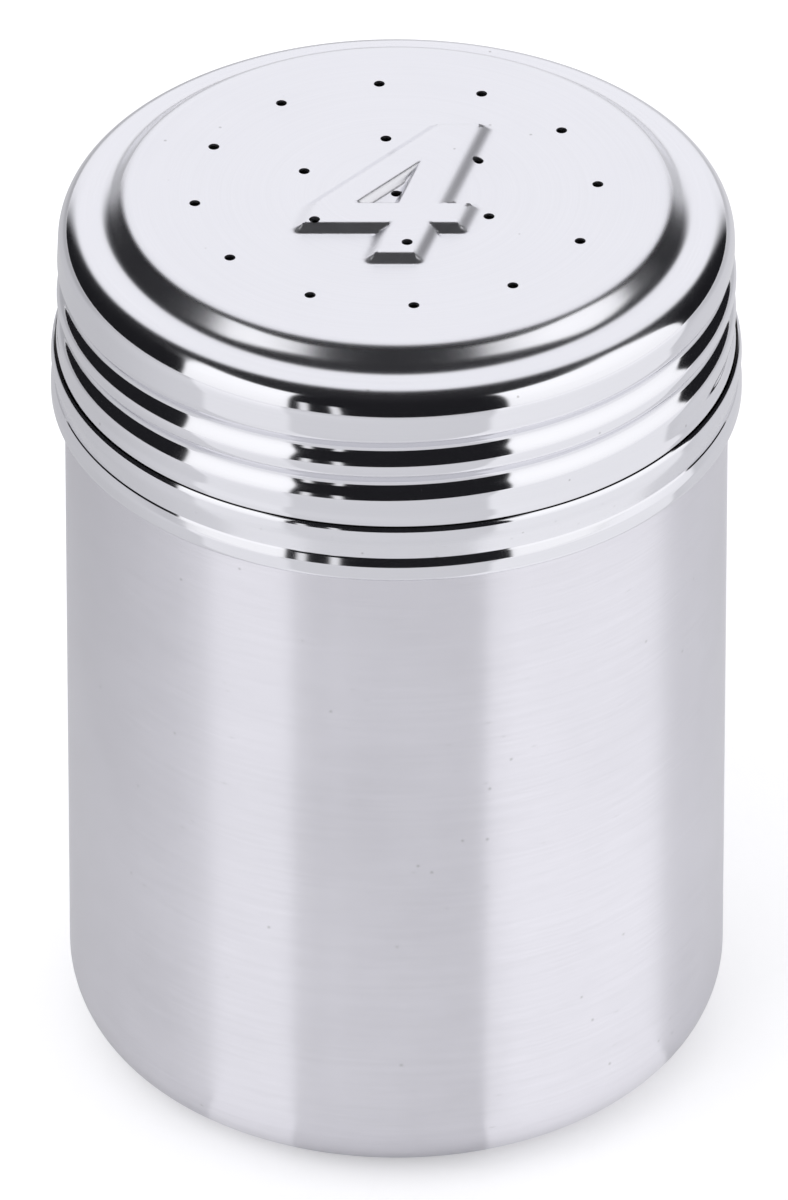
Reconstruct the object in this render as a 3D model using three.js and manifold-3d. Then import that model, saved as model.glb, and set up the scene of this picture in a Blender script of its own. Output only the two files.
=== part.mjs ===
import * as THREE from 'three';
import { mergeVertices } from 'three/addons/utils/BufferGeometryUtils.js';
import Module from 'manifold-3d';

// A spice shaker of pressed sheet steel: a drawn cup, a perforated lid that screws onto its neck by
// a rolled thread, and a flat ring under the lid's shoulder that seals the mouth.
// Millimetres, +Z up. The cup stands on z = 0 with its axis on Z, and its front faces -Y.

// Driving dimensions: sheet and clearances
const sheet = 0.5;
const threadClearance = 0.3;
const seatGap = 0.3;
const rimGap = 0.35;
const cutOverrun = 1;

// Driving dimensions: cup
const cupRadius = 33;
const cupCornerRadius = 8.5;
const restRingWidth = 4.5;
const baseRecess = 0.6;
const baseRecessRun = 2.5;
const neckFootCover = 4.1;
const neckTurnInRise = 1.4;
const neckTurnInRadius = 0.7;
const mouthBeadRadius = 0.65;

// Driving dimensions: lid
const plateauHeight = 97.8;
const annulusWidth = 6;
const stepDrop = 2.2;
const stepRun = 1.6;
const stepEdgeRadius = 0.8;
const stepFootRadius = 1;
const shoulderRadius = 2.8;
const shoulderDrop = 4.2;
const skirtInset = 0.3;
const ribStandOut = 0.35;
const ribBandHeight = 9.4;
const rimDrop = 1.7;
const rimHeight = 5.8;
const rimEdgeRadius = 0.4;
const rimDip = 0.25;
const rimDipRise = 0.6;
const rimCreaseRise = 2.6;
const rimCreaseDepth = 0.25;
const rimCreaseHalfWidth = 0.55;

// Driving dimensions: thread, a right-handed groove rolled into the lid and a matching ridge on the neck
const threadPitch = 4;
const threadDepth = 0.8;
const grooveRise = 3.65;

// Driving dimensions: perforations
const holeRadius = 0.55;
const outerRingRadius = 20;
const innerRingRadius = 10;

// Driving dimensions: raised numeral on the lid
const numeralHeight = 24;
const numeralWidth = 17;
const numeralStroke = 4.3;
const numeralStemWidth = 5.2;
const numeralStemInset = 2.8;
const numeralBarFoot = 5.4;
const numeralTopWidth = 5.6;
const numeralRelief = 0.9;
const numeralShiftX = -2.2;
const numeralShiftY = -0.8;

// Driving dimensions: sealing ring
const ringThickness = 0.8;
const ringWidth = 2;
const ringInset = 0.7;

// Angles, turns and counts
const numeralSlantDegrees = 16;
const outerHoleCount = 12;
const innerHoleCount = 6;
const outerHoleTurnDegrees = -4.9;
const innerHoleTurnDegrees = -6;
const grooveStartTurns = -0.92;
const grooveEndTurns = 1.5;
const ridgeStartTurns = -1.3;
const ridgeEndTurns = 0.5;
const fadeTurns = 0.2;
const sides = 40;
const holeSides = 10;
const stepsPerPitch = 5;
const filletSteps = 3;
const cornerSteps = 5;
const beadSteps = 6;

// Heights that follow from the sizes above, from the top down
const annulusHeight = plateauHeight - stepDrop;
const ribTopHeight = annulusHeight - shoulderDrop;
const ribBottomHeight = ribTopHeight - ribBandHeight;
const rimTopHeight = ribBottomHeight - rimDrop;
const rimBottomHeight = rimTopHeight - rimHeight;
const rimCreaseHeight = rimBottomHeight + rimCreaseRise;
const neckFootHeight = rimBottomHeight + neckFootCover;
const ringTopHeight = annulusHeight - sheet - seatGap;
const ringBottomHeight = ringTopHeight - ringThickness;
const mouthHeight = ringBottomHeight - seatGap;
const grooveHeight = ribBottomHeight + grooveRise;
const ridgeHeight = grooveHeight + threadPitch / 2;

// Radii that follow from the cup outwards, then from the lid's skirt inwards
const rimInnerRadius = cupRadius + rimGap;
const rimRadius = rimInnerRadius + 2 * sheet;
const ribRadius = rimInnerRadius + ribStandOut;
const skirtRadius = ribRadius - skirtInset;
const plateauRadius = skirtRadius - annulusWidth;
const neckRadius = ribRadius - sheet - threadDepth - threadClearance;
const ringOuterRadius = neckRadius - ringInset;
const ringInnerRadius = ringOuterRadius - ringWidth;
const restRingRadius = cupRadius - cupCornerRadius - restRingWidth;

// How finely the threaded stretches are cut, and how far up the neck the ridge can reach
const threadStep = threadPitch / stepsPerPitch;
const ridgeHeadHeight = ridgeHeight + (ridgeEndTurns + 1 / 2) * threadPitch;

const wasm = await Module();
wasm.setup();

// A corner of a section: its place (radius, height) and how far it is rounded
function corner(radius, height, rounding = 0, steps = filletSteps) {
  return { at: new THREE.Vector2(radius, height), rounding, steps };
}

function arcPoints(centre, radius, fromAngle, toAngle, steps) {
  const points = [];
  for (let i = 0; i <= steps; i += 1) {
    const angle = THREE.MathUtils.lerp(fromAngle, toAngle, i / steps);
    points.push(new THREE.Vector2(Math.cos(angle), Math.sin(angle)).multiplyScalar(radius).add(centre));
  }
  return points;
}

function filletPoints(before, item, after) {
  const back = before.clone().sub(item.at).normalize();
  const on = after.clone().sub(item.at).normalize();
  const half = Math.acos(THREE.MathUtils.clamp(back.dot(on), -1, 1)) / 2;
  const away = item.rounding / Math.sin(half);
  const centre = back.clone().add(on).normalize().multiplyScalar(away).add(item.at);
  const reach = item.rounding / Math.tan(half);
  const start = back.multiplyScalar(reach).add(item.at).sub(centre);
  const end = on.multiplyScalar(reach).add(item.at).sub(centre);
  const sweep = Math.atan2(start.cross(end), start.dot(end));
  return arcPoints(centre, item.rounding, start.angle(), start.angle() + sweep, item.steps);
}

function roundedPath(corners) {
  return corners.flatMap((item, i) => {
    if (item.rounding <= 0 || i === 0 || i === corners.length - 1) {
      return [item.at];
    }
    return filletPoints(corners[i - 1].at, item, corners[i + 1].at);
  });
}

function leftNormal(from, to) {
  const along = to.clone().sub(from).normalize();
  return new THREE.Vector2(-along.y, along.x);
}

// Where two offset lines through a corner meet, for an offset to the left of the path
function offsetCorner(before, at, after, distance) {
  const first = before ? leftNormal(before, at) : leftNormal(at, after);
  const second = after ? leftNormal(at, after) : first;
  const bisector = first.clone().add(second).normalize();
  return bisector.multiplyScalar(distance / bisector.dot(first)).add(at);
}

// The same section on the sheet's other side, with its roundings kept concentric
function otherSide(corners, distance) {
  return corners.map((item, i) => {
    const before = corners[i - 1]?.at;
    const after = corners[i + 1]?.at;
    const at = offsetCorner(before, item.at, after, distance);
    const turn = before && after ? item.at.clone().sub(before).cross(after.clone().sub(item.at)) : 0;
    const rounding = item.rounding > 0 ? Math.max(item.rounding - Math.sign(turn) * distance, 0) : 0;
    return { at, rounding, steps: item.steps };
  });
}

// Adds points to the stretches of a section that carry the thread
function refined(points, lowHeight, highHeight) {
  return points.flatMap((point, i) => {
    const next = points[i + 1];
    const inside = next && Math.max(point.y, next.y) <= highHeight && Math.min(point.y, next.y) >= lowHeight;
    const count = inside ? Math.max(Math.ceil(point.distanceTo(next) / threadStep), 1) : 1;
    return Array.from({ length: count }, (_, k) => (next ? point.clone().lerp(next, k / count) : point));
  });
}

// How full the rolled thread is at a place: 0 off it, 1 in the middle of its groove or ridge.
// A turn is counted from the front, anticlockwise seen from above.
function threadShare(x, y, height, middleHeight, startTurns, endTurns) {
  const turn = Math.atan2(x, -y) / (2 * Math.PI);
  const along = (height - middleHeight) / threadPitch - turn;
  const nearest = Math.round(along);
  const turns = nearest + turn;
  const fadeIn = THREE.MathUtils.smoothstep(turns, startTurns, startTurns + fadeTurns);
  const fadeOut = 1 - THREE.MathUtils.smoothstep(turns, endTurns - fadeTurns, endTurns);
  return (Math.min(fadeIn, fadeOut) * (1 + Math.cos(2 * Math.PI * (along - nearest)))) / 2;
}

// Turns a section about Z and rolls the thread into the part of it between two heights
function turned(points, lowHeight, highHeight, depthAt) {
  const geometry = new THREE.LatheGeometry(points, sides);
  geometry.rotateX(Math.PI / 2);
  const place = geometry.getAttribute('position');
  for (let i = 0; i < place.count; i += 1) {
    const x = place.getX(i);
    const y = place.getY(i);
    const z = place.getZ(i);
    const radius = Math.hypot(x, y);
    if (z >= lowHeight && z <= highHeight) {
      const scale = (radius + depthAt(x, y, z)) / radius;
      place.setXY(i, x * scale, y * scale);
    }
  }
  return geometry;
}

function toSolid(geometry) {
  const plain = new THREE.BufferGeometry();
  const source = geometry.index ? geometry.toNonIndexed() : geometry;
  plain.setAttribute('position', source.getAttribute('position'));
  const merged = mergeVertices(plain);
  const triangles = [];
  for (let i = 0; i < merged.index.count; i += 3) {
    const [a, b, c] = [0, 1, 2].map((k) => merged.index.getX(i + k));
    if (a !== b && b !== c && c !== a) {
      triangles.push(a, b, c);
    }
  }
  const mesh = new wasm.Mesh({
    numProp: 3,
    vertProperties: new Float32Array(merged.getAttribute('position').array),
    triVerts: new Uint32Array(triangles),
  });
  return new wasm.Manifold(mesh);
}

function toGeometry(solid) {
  const mesh = solid.getMesh();
  const geometry = new THREE.BufferGeometry();
  geometry.setAttribute('position', new THREE.BufferAttribute(mesh.vertProperties, 3));
  geometry.setIndex(new THREE.BufferAttribute(mesh.triVerts, 1));
  return geometry;
}

function part(name, geometry, material) {
  const mesh = new THREE.Mesh(geometry, material);
  mesh.name = name;
  return mesh;
}

// Cup: one drawn sheet, flat ring underneath, neck turned in under the lid, mouth beaded inwards
function cupSection() {
  const wall = [
    corner(0, baseRecess),
    corner(restRingRadius - baseRecessRun, baseRecess),
    corner(restRingRadius, 0),
    corner(cupRadius, 0, cupCornerRadius, cornerSteps),
    corner(cupRadius, neckFootHeight, neckTurnInRadius),
    corner(neckRadius, neckFootHeight + neckTurnInRise, neckTurnInRadius),
    corner(neckRadius, ridgeHeadHeight),
    corner(neckRadius, mouthHeight - mouthBeadRadius),
  ];
  const outside = refined(roundedPath(wall), neckFootHeight + neckTurnInRise, ridgeHeadHeight);
  const inside = refined(roundedPath(otherSide(wall, sheet)), neckFootHeight + neckTurnInRise, ridgeHeadHeight);
  const beadCentre = new THREE.Vector2(neckRadius - mouthBeadRadius, mouthHeight - mouthBeadRadius);
  const meetAngle = 2 * Math.PI - Math.acos((mouthBeadRadius - sheet) / mouthBeadRadius);
  const bead = arcPoints(beadCentre, mouthBeadRadius, 0, meetAngle, beadSteps);
  outside.pop();
  inside.pop();
  return [...outside, ...bead, ...inside.reverse()];
}

function cup() {
  const geometry = turned(
    cupSection(),
    neckFootHeight + neckTurnInRise,
    mouthHeight - 2 * mouthBeadRadius,
    (x, y, z) => threadDepth * threadShare(x, y, z, ridgeHeight, ridgeStartTurns, ridgeEndTurns),
  );
  const steel = new THREE.MeshStandardMaterial({ color: 0xd3d2d8, roughness: 0.35, metalness: 1 });
  return part('shaker_cup', toGeometry(toSolid(geometry)), steel);
}

// Lid: one pressed sheet, plateau, shoulder, threaded skirt, and a rim folded up outside
function lidSection() {
  const top = [
    corner(0, plateauHeight),
    corner(plateauRadius, plateauHeight, stepEdgeRadius),
    corner(plateauRadius + stepRun, annulusHeight, stepFootRadius),
    corner(skirtRadius, annulusHeight, shoulderRadius, cornerSteps),
    corner(skirtRadius, (annulusHeight - shoulderRadius + ribTopHeight) / 2),
    corner(ribRadius, ribTopHeight),
    corner(ribRadius, ribBottomHeight),
  ];
  const outside = refined(roundedPath(top), ribBottomHeight, annulusHeight - shoulderRadius);
  const inside = refined(roundedPath(otherSide(top, -sheet)), ribBottomHeight, annulusHeight - shoulderRadius);
  return [...outside, ...rimPoints(), ...inside.reverse()].reverse();
}

function rimPoints() {
  const edgeCentre = new THREE.Vector2(rimRadius - rimEdgeRadius, rimTopHeight - rimEdgeRadius);
  const foldCentre = new THREE.Vector2(rimRadius - sheet, rimBottomHeight + sheet);
  return [
    new THREE.Vector2(ribRadius - rimDip, rimTopHeight + rimDipRise),
    ...arcPoints(edgeCentre, rimEdgeRadius, Math.PI / 2, 0, filletSteps),
    new THREE.Vector2(rimRadius, rimCreaseHeight + rimCreaseHalfWidth),
    new THREE.Vector2(rimRadius - rimCreaseDepth, rimCreaseHeight),
    new THREE.Vector2(rimRadius, rimCreaseHeight - rimCreaseHalfWidth),
    ...arcPoints(foldCentre, sheet, 0, -Math.PI, cornerSteps),
    new THREE.Vector2(rimInnerRadius, rimTopHeight),
  ];
}

// Outline of the numeral, upright, with its lower left corner at the origin
function numeralCorners() {
  const stemRight = numeralWidth - numeralStemInset;
  const stemLeft = stemRight - numeralStemWidth;
  const barHead = numeralBarFoot + numeralStroke;
  return [
    [stemLeft, 0],
    [stemRight, 0],
    [stemRight, numeralBarFoot],
    [numeralWidth, numeralBarFoot],
    [numeralWidth, barHead],
    [stemRight, barHead],
    [stemRight, numeralHeight],
    [stemRight - numeralTopWidth, numeralHeight],
    [0, barHead],
    [0, numeralBarFoot],
    [stemLeft, numeralBarFoot],
  ].map(([x, y]) => new THREE.Vector2(x, y));
}

function insetOutline(outline, distance) {
  return outline.map((at, i) => {
    const before = outline[(i + outline.length - 1) % outline.length];
    const after = outline[(i + 1) % outline.length];
    return offsetCorner(before, at, after, distance);
  });
}

// The closed triangle inside the numeral, a stroke away from its sloping side
function numeralCounter() {
  const barHead = numeralBarFoot + numeralStroke;
  const stemRight = numeralWidth - numeralStemInset;
  const stemLeft = stemRight - numeralStemWidth;
  const slopeFoot = new THREE.Vector2(0, barHead);
  const slopeHead = new THREE.Vector2(stemRight - numeralTopWidth, numeralHeight);
  const along = slopeHead.clone().sub(slopeFoot);
  const footX = (numeralStroke * along.length()) / along.y;
  const headY = barHead + ((stemLeft - footX) * along.y) / along.x;
  return [
    new THREE.Vector2(footX, barHead),
    new THREE.Vector2(stemLeft, barHead),
    new THREE.Vector2(stemLeft, headY),
  ];
}

function slanted(points) {
  const lean = Math.tan(THREE.MathUtils.degToRad(numeralSlantDegrees));
  const leftX = numeralShiftX - numeralWidth / 2;
  const footY = numeralShiftY - numeralHeight / 2;
  return points.map(({ x, y }) => new THREE.Vector2(x + lean * y + leftX, y + footY));
}

function prism(outline, fromHeight, toHeight) {
  const shape = new THREE.Shape(slanted(outline));
  const geometry = new THREE.ExtrudeGeometry(shape, { depth: toHeight - fromHeight, bevelEnabled: false });
  geometry.translate(0, 0, fromHeight);
  return toSolid(geometry);
}

function numeralSolid(inset, fromHeight, toHeight) {
  const outline = insetOutline(numeralCorners(), inset);
  const counter = insetOutline(numeralCounter(), -inset);
  return prism(outline, fromHeight, toHeight)
    .subtract(prism(counter, fromHeight - cutOverrun, toHeight + cutOverrun));
}

function holeSolid(x, y) {
  const height = numeralRelief + sheet + 2 * cutOverrun;
  const geometry = new THREE.CylinderGeometry(holeRadius, holeRadius, height, holeSides);
  geometry.rotateX(Math.PI / 2);
  geometry.translate(x, y, plateauHeight - sheet - cutOverrun + height / 2);
  return toSolid(geometry);
}

function holePlaces(radius, count, turnDegrees) {
  return Array.from({ length: count }, (_, i) => {
    const angle = THREE.MathUtils.degToRad(turnDegrees) + (2 * Math.PI * i) / count;
    return [radius * Math.sin(angle), radius * Math.cos(angle)];
  });
}

function lid() {
  const shell = toSolid(turned(
    lidSection(),
    rimTopHeight,
    annulusHeight - shoulderRadius,
    (x, y, z) => -threadDepth * threadShare(x, y, z, grooveHeight, grooveStartTurns, grooveEndTurns),
  ));
  const middleHeight = plateauHeight - sheet / 2;
  const recessTop = plateauHeight + numeralRelief - sheet;
  const places = [
    [0, 0],
    ...holePlaces(innerRingRadius, innerHoleCount, innerHoleTurnDegrees),
    ...holePlaces(outerRingRadius, outerHoleCount, outerHoleTurnDegrees),
  ];
  const raised = shell
    .add(numeralSolid(0, middleHeight, plateauHeight + numeralRelief))
    .subtract(numeralSolid(sheet, plateauHeight - sheet - cutOverrun, recessTop));
  const pierced = places.reduce((solid, [x, y]) => solid.subtract(holeSolid(x, y)), raised);
  const steel = new THREE.MeshStandardMaterial({ color: 0xe2e2e8, roughness: 0.12, metalness: 1 });
  return part('screw_lid', toGeometry(pierced), steel);
}

// Sealing ring: flat, under the lid's shoulder and over the cup's mouth bead
function sealingRing() {
  const section = [
    new THREE.Vector2(ringInnerRadius, ringBottomHeight),
    new THREE.Vector2(ringOuterRadius, ringBottomHeight),
    new THREE.Vector2(ringOuterRadius, ringTopHeight),
    new THREE.Vector2(ringInnerRadius, ringTopHeight),
    new THREE.Vector2(ringInnerRadius, ringBottomHeight),
  ];
  const geometry = new THREE.LatheGeometry(section, sides);
  geometry.rotateX(Math.PI / 2);
  const rubber = new THREE.MeshStandardMaterial({ color: 0xe9e7e2, roughness: 0.6, metalness: 0 });
  return part('sealing_ring', toGeometry(toSolid(geometry)), rubber);
}

const shaker = new THREE.Group();
shaker.add(cup(), sealingRing(), lid());

export default shaker;
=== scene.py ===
import math

import bmesh
import bpy
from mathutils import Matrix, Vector
from mathutils.geometry import delaunay_2d_cdt


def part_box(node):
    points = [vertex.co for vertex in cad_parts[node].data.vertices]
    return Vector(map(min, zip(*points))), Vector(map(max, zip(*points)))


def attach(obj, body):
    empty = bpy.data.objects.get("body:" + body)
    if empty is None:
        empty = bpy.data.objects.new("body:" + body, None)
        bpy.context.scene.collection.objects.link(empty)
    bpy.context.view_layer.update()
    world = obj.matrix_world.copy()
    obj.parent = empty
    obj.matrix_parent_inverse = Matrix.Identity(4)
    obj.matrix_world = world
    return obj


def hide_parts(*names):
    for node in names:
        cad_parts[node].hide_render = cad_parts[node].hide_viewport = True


# A spice shaker of pressed sheet steel: satin cup, polished screw lid and a hidden sealing ring.
# Sizes are in millimetres and become metres when a mesh is made. The front faces -Y.
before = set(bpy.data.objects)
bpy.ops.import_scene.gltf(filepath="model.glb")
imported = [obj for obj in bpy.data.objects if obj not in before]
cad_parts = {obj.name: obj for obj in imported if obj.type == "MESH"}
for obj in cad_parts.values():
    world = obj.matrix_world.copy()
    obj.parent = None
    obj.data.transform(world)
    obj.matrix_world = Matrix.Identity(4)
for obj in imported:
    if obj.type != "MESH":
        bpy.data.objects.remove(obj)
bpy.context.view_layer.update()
mm = 0.001
print("frame loaded:", len(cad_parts), "nodes")


def nodeBox(node):
    low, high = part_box(node)
    return low / mm, high / mm


# the sheet that the pieces are drawn from, and how finely they are cut into faces
sheetSizes = {
    "thickness": 0.5,
    "segments": 240,  # sides of a turned piece
    "degreesPerStep": 5,  # how finely a rounded corner is cut
    "support": 0.15,  # a ring of points this close to each rounded corner keeps flats flat
    "steepShare": 0.7,  # a run that climbs more than this share of its length is a wall
    "sharpDegrees": 38,
    "threadPitch": 4.0,
    "threadFade": 0.2,  # turns over which a thread starts and ends
}


# A section is a path through corners (radius, height, rounding), from which its points are made.
def arc(centre, radius, fromDegrees, toDegrees):
    sweep = toDegrees - fromDegrees
    count = max(2, math.ceil(abs(sweep) / sheetSizes["degreesPerStep"]))
    angles = [math.radians(fromDegrees + sweep * i / count) for i in range(count + 1)]
    return [Vector((centre.x + radius * math.cos(a), centre.y + radius * math.sin(a))) for a in angles]


def rounded(corners):
    points = []
    for i, (radius, height, rounding) in enumerate(corners):
        at = Vector((radius, height))
        if rounding <= 0 or i in (0, len(corners) - 1):
            points.append(at)
            continue
        back = (Vector(corners[i - 1][:2]) - at).normalized()
        on = (Vector(corners[i + 1][:2]) - at).normalized()
        half = back.angle(on) / 2
        centre = at + (back + on).normalized() * (rounding / math.sin(half))
        start = at + back * (rounding / math.tan(half)) - centre
        end = at + on * (rounding / math.tan(half)) - centre
        first = math.degrees(math.atan2(start.y, start.x))
        sweep = math.degrees(math.atan2(start.x * end.y - start.y * end.x, start.dot(end)))
        points += arc(centre, rounding, first, first + sweep)
    return points


# the same path on the sheet's other side, to the left of its run where distance is positive
def otherSide(corners, distance):
    moved = []
    for i, (radius, height, rounding) in enumerate(corners):
        at = Vector((radius, height))
        before = (at - Vector(corners[i - 1][:2])).normalized() if i else None
        after = (Vector(corners[i + 1][:2]) - at).normalized() if i < len(corners) - 1 else None
        first, second = before or after, after or before
        normals = [Vector((-d.y, d.x)) for d in (first, second)]
        bisector = (normals[0] + normals[1]).normalized()
        place = at + bisector * (distance / bisector.dot(normals[0]))
        turn = first.x * second.y - first.y * second.x
        side = 0 if abs(turn) < 1e-9 else math.copysign(1, turn)
        moved.append((place.x, place.y, max(rounding - side * distance, 0) if rounding > 0 else 0))
    return moved


# adds points beside each corner, and a point every step up the walls between low and high
def supported(points, low=None, high=None, step=None):
    made = []
    for a, b in zip(points, points[1:]):
        length = (b - a).length
        made.append(a)
        steep = abs(b.y - a.y) > sheetSizes["steepShare"] * length
        if low is not None and max(a.y, b.y) > low and min(a.y, b.y) < high and steep:
            count = max(1, math.ceil(length / step))
            made += [a.lerp(b, i / count) for i in range(1, count)]
        elif length > 4 * sheetSizes["support"]:
            share = sheetSizes["support"] / length
            made += [a.lerp(b, share), a.lerp(b, 1 - share)]
    return made + [points[-1]]


class Wiring:  # adds nodes to one tree and links them
    def __init__(self, tree):
        self.tree = tree

    def node(self, kind, inputs=None, **settings):
        made = self.tree.nodes.new(kind)
        for key, value in settings.items():
            setattr(made, key, value)
        for key, value in (inputs or {}).items():
            self.feed(self.socket(made, key), value)
        return made

    def socket(self, node, key):
        if isinstance(key, int):
            return node.inputs[key]
        return next(s for s in node.inputs if s.name == key and s.enabled)

    def feed(self, socket, value):
        if isinstance(value, bpy.types.NodeSocket):
            self.tree.links.new(value, socket)
        else:
            socket.default_value = value

    def math(self, operation, *values):
        return self.node("ShaderNodeMath", dict(enumerate(values)), operation=operation).outputs[0]

    def times(self, first, *others):
        for value in others:
            first = self.math("MULTIPLY", first, value)
        return first

    def plus(self, first, *others):
        for value in others:
            first = self.math("ADD", first, value)
        return first

    def less(self, first, second):
        return self.math("SUBTRACT", first, second)

    def slope(self, value, rise, start):  # start, and rise for each unit of the value
        return self.math("MULTIPLY_ADD", value, rise, start)

    def smooth(self, value, low, high, toLow=0.0, toHigh=1.0):
        inputs = {"Value": value, "From Min": low, "From Max": high, "To Min": toLow, "To Max": toHigh}
        return self.node("ShaderNodeMapRange", inputs, interpolation_type="SMOOTHSTEP").outputs[0]

    def between(self, value, low, high, soft):
        rise = self.smooth(value, low - soft, low + soft)
        return self.times(rise, self.smooth(value, high + soft, high - soft))

    def mix(self, factor, first, second):
        inputs = {0: factor, 6: first, 7: second}
        return self.node("ShaderNodeMix", inputs, data_type="RGBA").outputs[2]

    def split(self, vector):
        return self.node("ShaderNodeSeparateXYZ", {0: vector}).outputs

    def join(self, x=0.0, y=0.0, z=0.0):
        return self.node("ShaderNodeCombineXYZ", {0: x, 1: y, 2: z}).outputs[0]

    def length(self, vector):
        return self.node("ShaderNodeVectorMath", {0: vector}, operation="LENGTH").outputs[1]

    def scaled(self, vector, factor):
        made = self.node("ShaderNodeVectorMath", {0: vector}, operation="SCALE")
        self.feed(self.socket(made, "Scale"), factor)
        return made.outputs[0]

    def degreesRound(self, x, y):  # from the front, towards +X
        return self.times(self.math("ARCTAN2", x, self.times(y, -1)), 180 / math.pi)


socketKinds = {
    float: "NodeSocketFloat",
    int: "NodeSocketInt",
    "value": "NodeSocketFloat",
    "vector": "NodeSocketVector",
    "geometry": "NodeSocketGeometry",
    "material": "NodeSocketMaterial",
}


# a node tree with named sockets: gives its wiring, its inputs by name and its output node
def newTree(name, kind, inputs, outputs):
    tree = bpy.data.node_groups.new(name, kind)
    for label, what in inputs.items():
        socketType = socketKinds[what if isinstance(what, str) else type(what)]
        made = tree.interface.new_socket(label, in_out="INPUT", socket_type=socketType)
        if not isinstance(what, str):
            made.default_value = what
    for label, what in outputs.items():
        tree.interface.new_socket(label, in_out="OUTPUT", socket_type=socketKinds[what])
    wiring = Wiring(tree)
    entry = wiring.node("NodeGroupInput")
    leave = wiring.node("NodeGroupOutput")
    return wiring, {s.name: s for s in entry.outputs if s.name}, leave


# runs a Geometry Nodes tree on an object and keeps the result as its plain mesh
def runTree(made, tree, values):
    modifier = made.modifiers.new(tree.name, "NODES")
    modifier.node_group = tree
    for item in tree.interface.items_tree:
        if item.item_type == "SOCKET" and item.in_out == "INPUT" and item.name in values:
            modifier[item.identifier] = values[item.name]
    made.update_tag()
    shown = made.evaluated_get(bpy.context.evaluated_depsgraph_get())
    mesh = bpy.data.meshes.new_from_object(shown)
    made.modifiers.remove(modifier)
    old = made.data
    made.data = mesh
    mesh.name = made.name
    bpy.data.meshes.remove(old)
    return made


# ends a tree: smooth faces, sharp edges past an angle, real geometry and one material
def finishTree(w, geometry, given, leave):
    smoothInputs = {"Geometry": geometry, "Shade Smooth": True}
    smooth = w.node("GeometryNodeSetShadeSmooth", smoothInputs, domain="FACE")
    edgeAngle = w.node("GeometryNodeInputMeshEdgeAngle").outputs["Unsigned Angle"]
    steep = w.math("GREATER_THAN", edgeAngle, given["Sharp Angle"])
    sharpInputs = {"Geometry": smooth.outputs[0], "Selection": steep, "Shade Smooth": False}
    sharp = w.node("GeometryNodeSetShadeSmooth", sharpInputs, domain="EDGE")
    real = w.node("GeometryNodeRealizeInstances", {"Geometry": sharp.outputs[0]})
    done = w.node("GeometryNodeSetMaterial", {"Geometry": real.outputs[0], "Material": given["Finish"]})
    w.feed(leave.inputs[0], done.outputs[0])


# a section turned about Z, with a helical thread rolled into its wall between two heights
def turnedSheetTree():
    inputs = {
        "Geometry": "geometry",
        "Segments": 64,
        "Pitch": 0.004,
        "Depth": 0.0,
        "Valley Power": 1.0,
        "Middle Height": 0.0,
        "Low Height": 0.0,
        "High Height": 0.0,
        "Start Turns": 0.0,
        "End Turns": 1.0,
        "Fade Turns": 0.2,
        "Sharp Angle": 0.6,
        "Finish": "material",
    }
    w, given, leave = newTree("turnedSheet", "GeometryNodeTree", inputs, {"Geometry": "geometry"})
    # a grid with a row for each point of the section and a column for each side
    rows = w.node("GeometryNodeAttributeDomainSize", {"Geometry": given["Geometry"]}).outputs["Point Count"]
    columns = w.plus(given["Segments"], 1)
    gridInputs = {"Size X": 1.0, "Size Y": 1.0, "Vertices X": columns, "Vertices Y": rows}
    grid = w.node("GeometryNodeMeshGrid", gridInputs).outputs["Mesh"]
    place = w.node("GeometryNodeInputPosition").outputs[0]
    x, y, z = w.split(place)
    row = w.times(w.plus(y, 0.5), w.less(rows, 1))
    index = w.node("FunctionNodeFloatToInt", {0: row}, rounding_mode="ROUND").outputs[0]
    sampleInputs = {"Geometry": given["Geometry"], "Value": place, "Index": index}
    sample = w.node("GeometryNodeSampleIndex", sampleInputs, data_type="FLOAT_VECTOR", domain="POINT")
    radius, _, height = w.split(next(s for s in sample.outputs if s.enabled))
    angle = w.times(w.plus(x, 0.5), 2 * math.pi)
    point = w.join(w.times(radius, w.math("SINE", angle)), w.times(radius, w.math("COSINE", angle)), height)
    turned = w.node("GeometryNodeSetPosition", {"Geometry": grid, "Position": point})
    welded = w.node("GeometryNodeMergeByDistance", {"Geometry": turned.outputs[0], "Distance": 0.002 * mm})
    # the thread: turns are counted from the front, anticlockwise seen from above
    turn = w.math("DIVIDE", w.math("ARCTAN2", x, w.times(y, -1)), 2 * math.pi)
    rise = w.math("DIVIDE", w.less(z, given["Middle Height"]), given["Pitch"])
    along = w.less(rise, turn)
    nearest = w.math("ROUND", along)
    turns = w.plus(nearest, turn)
    fadeIn = w.smooth(turns, given["Start Turns"], w.plus(given["Start Turns"], given["Fade Turns"]))
    fadeStart = w.less(given["End Turns"], given["Fade Turns"])
    fadeOut = w.less(1, w.smooth(turns, fadeStart, given["End Turns"]))
    wave = w.math("COSINE", w.times(w.less(along, nearest), 2 * math.pi))
    wave = w.math("POWER", w.slope(wave, 0.5, 0.5), given["Valley Power"])
    share = w.times(w.math("MINIMUM", fadeIn, fadeOut), wave)
    reach = w.length(w.join(x, y))
    outward = w.join(w.math("DIVIDE", x, reach), w.math("DIVIDE", y, reach))
    push = w.scaled(outward, w.times(share, given["Depth"]))
    inBand = w.math("GREATER_THAN", z, given["Low Height"])
    inBand = w.times(inBand, w.math("LESS_THAN", z, given["High Height"]))
    rolledInputs = {"Geometry": welded.outputs[0], "Selection": inBand, "Offset": push}
    rolled = w.node("GeometryNodeSetPosition", rolledInputs)
    finishTree(w, rolled.outputs[0], given, leave)
    return w.tree


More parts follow.
